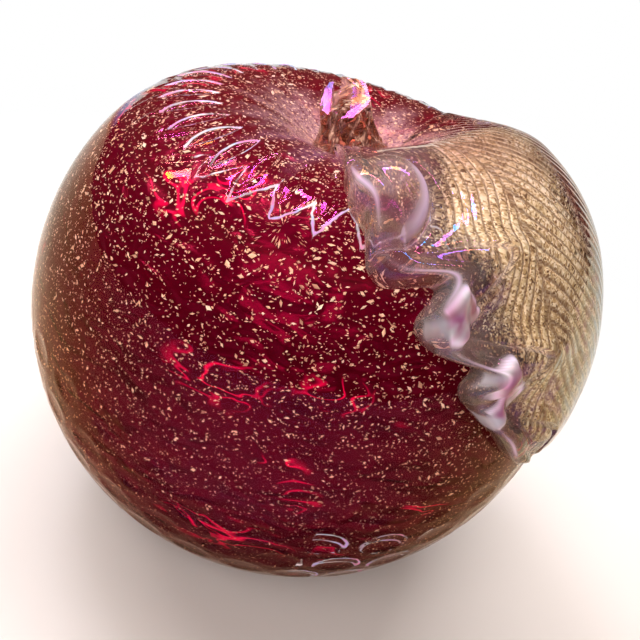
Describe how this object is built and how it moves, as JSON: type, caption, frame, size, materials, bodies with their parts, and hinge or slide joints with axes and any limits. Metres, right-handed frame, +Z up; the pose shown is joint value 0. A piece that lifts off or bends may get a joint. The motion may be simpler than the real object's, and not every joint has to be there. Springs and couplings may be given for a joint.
{
  "type": "art glass apple",
  "caption": "Blown glass apple ornament: ruby body with gold flecks under a clear fluted casing, a drawn stem and a gold-filled leaf with a frilled edge.",
  "frame": {"origin": "centre of the flat ground base, on the axis of the apple", "axes": "+Z up along the axis of the apple; the leaf runs out from the stem along +X, its frilled edge on the -Y side"},
  "size_m": [0.1187, 0.114, 0.1032],
  "materials": {
    "ruby_glass": "blown, fire polished",
    "gold_flecked_glass": "gold leaf broken to flecks, sealed in glass",
    "clear_lustre_glass": "fire polished, faint lustre",
    "gold_leaf_in_glass": "gold leaf sealed in glass"
  },
  "bodies": {
    "root": {"ruby_bubble": "ruby_glass", "gold_leaf_layer": "gold_flecked_glass", "clear_casing": "clear_lustre_glass", "stem_gold": "gold_flecked_glass", "stem": "clear_lustre_glass", "leaf_gold": "gold_leaf_in_glass", "leaf_blade": "clear_lustre_glass"}
  },
  "joints": []
}
